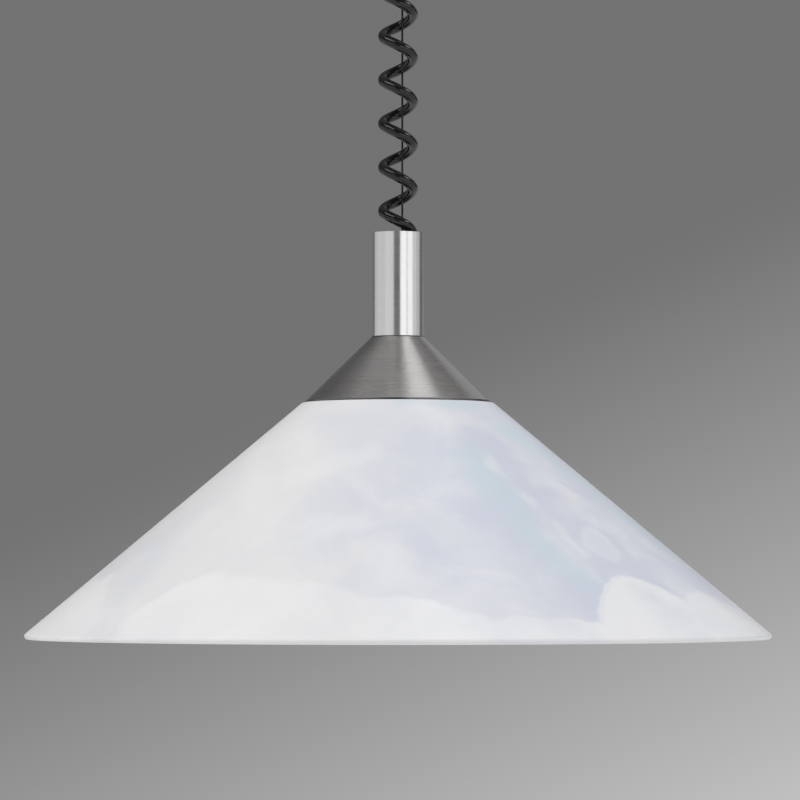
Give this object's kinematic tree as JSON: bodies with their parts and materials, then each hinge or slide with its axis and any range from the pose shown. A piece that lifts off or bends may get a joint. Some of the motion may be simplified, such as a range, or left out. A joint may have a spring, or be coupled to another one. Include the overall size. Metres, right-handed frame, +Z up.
{
  "type": "rise and fall pendant",
  "caption": "Ceiling pendant on a spring reel: a wide white glass cone under a nickel cap and tube hangs from a thin wire inside a curly cord and moves up and down.",
  "frame": {"origin": "middle of the ceiling bracket's two slots, on its upper face, which is the ceiling plane", "axes": "+Z up into the ceiling, +X along the line of the two slots, the picture looks along +Y"},
  "size_m": [0.4299, 0.43, 0.5802],
  "materials": {
    "brushed_nickel": "brushed nickel plate, satin",
    "satin_nickel": "satin nickel plate, smoother than the cap",
    "opal_glass": "cloudy white opal glass, satin",
    "cord_pvc": "black PVC sheath, glossy",
    "steel_wire": "dark steel wire",
    "zinc_steel": "zinc plated steel",
    "cast_zinc": "die-cast, satin",
    "spring_steel": "blued spring steel",
    "brass": "bright brass",
    "felt": "brake felt",
    "black_plastic": "moulded, matt",
    "white_plastic": "moulded, semi-gloss",
    "dark_rubber": "thin foam gasket",
    "clear_rubber": "silicone gasket",
    "core_brown": "core insulation",
    "core_blue": "core insulation",
    "core_green": "core insulation"
  },
  "bodies": {
    "ceiling": {"ceiling_bracket": "zinc_steel", "bracket_earth_screw": "brass", "canopy": "brushed_nickel", "canopy_screws": "brushed_nickel", "reel_frame": "zinc_steel", "reel_frame_screws": "zinc_steel", "reel_axle": "zinc_steel", "axle_clips": "zinc_steel", "brake_pad": "felt", "brake_plate": "zinc_steel", "outlet_bush": "black_plastic", "outlet_nut": "black_plastic", "wire_eyelet": "brass", "upper_cord_clamp": "black_plastic", "upper_clamp_screw": "zinc_steel", "terminal_block": "white_plastic", "terminal_screws": "zinc_steel", "block_screw": "zinc_steel", "upper_cord_tail": "cord_pvc", "upper_live_core": "core_brown", "upper_neutral_core": "core_blue", "upper_earth_core": "core_green"},
    "reel": {"wire_drum": "cast_zinc", "drum_bushes": "brass", "mainspring": "spring_steel", "spring_cover": "zinc_steel", "cover_screws": "zinc_steel", "wire_winding": "steel_wire"},
    "brake_adjuster": {"brake_screw": "zinc_steel"},
    "brake_loader": {"brake_nut": "brass", "brake_spring": "zinc_steel"},
    "lamp": {"lamp_tube": "satin_nickel", "tube_plate": "zinc_steel", "tie_rods": "zinc_steel", "wire_gripper": "brass", "gripper_screws": "zinc_steel", "lower_cord_bush": "black_plastic", "lower_cord_clamp": "black_plastic", "lower_clamp_screw": "zinc_steel", "lower_cord_tail": "cord_pvc", "lower_live_core": "core_brown", "lower_neutral_core": "core_blue", "lower_earth_core": "core_green", "earth_tag": "brass", "earth_tag_screw": "brass", "tube_foot": "zinc_steel", "nipple": "zinc_steel", "lock_nuts": "zinc_steel", "cap": "brushed_nickel", "cap_gasket": "dark_rubber", "holder_cap": "white_plastic", "holder_body": "white_plastic", "holder_insert": "white_plastic", "screw_shell": "brass", "holder_contacts": "brass", "shade_ring": "white_plastic", "glass_gaskets": "clear_rubber", "glass_shade": "opal_glass", "curly_cord": "cord_pvc", "suspension_wire": "steel_wire"}
  },
  "joints": [
    {"name": "rise_fall", "type": "slide", "parent": "ceiling", "child": "lamp", "axis": [0, 0, -1], "range_m": [-0.13, 0.15], "deforming": ["curly_cord", "suspension_wire"]},
    {"name": "drum_spin", "type": "hinge", "parent": "ceiling", "child": "reel", "pos_m": [-0.0183, 0, -0.036], "axis": [0, 1, 0], "range_deg": [-360, 415]},
    {"name": "brake_turn", "type": "hinge", "parent": "ceiling", "child": "brake_adjuster", "pos_m": [-0.0183, 0, -0.051], "axis": [0, -1, 0], "range_deg": [0, 720]},
    {"name": "brake_slide", "type": "slide", "parent": "ceiling", "child": "brake_loader", "axis": [0, 1, 0], "range_m": [0, 0.0014], "deforming": ["brake_spring"]}
  ],
  "couplings": [
    {"joint": "drum_spin", "follows": "rise_fall", "rad_per_m": 48.077},
    {"joint": "brake_turn", "follows": "brake_slide", "rad_per_m": 8976}
  ]
}
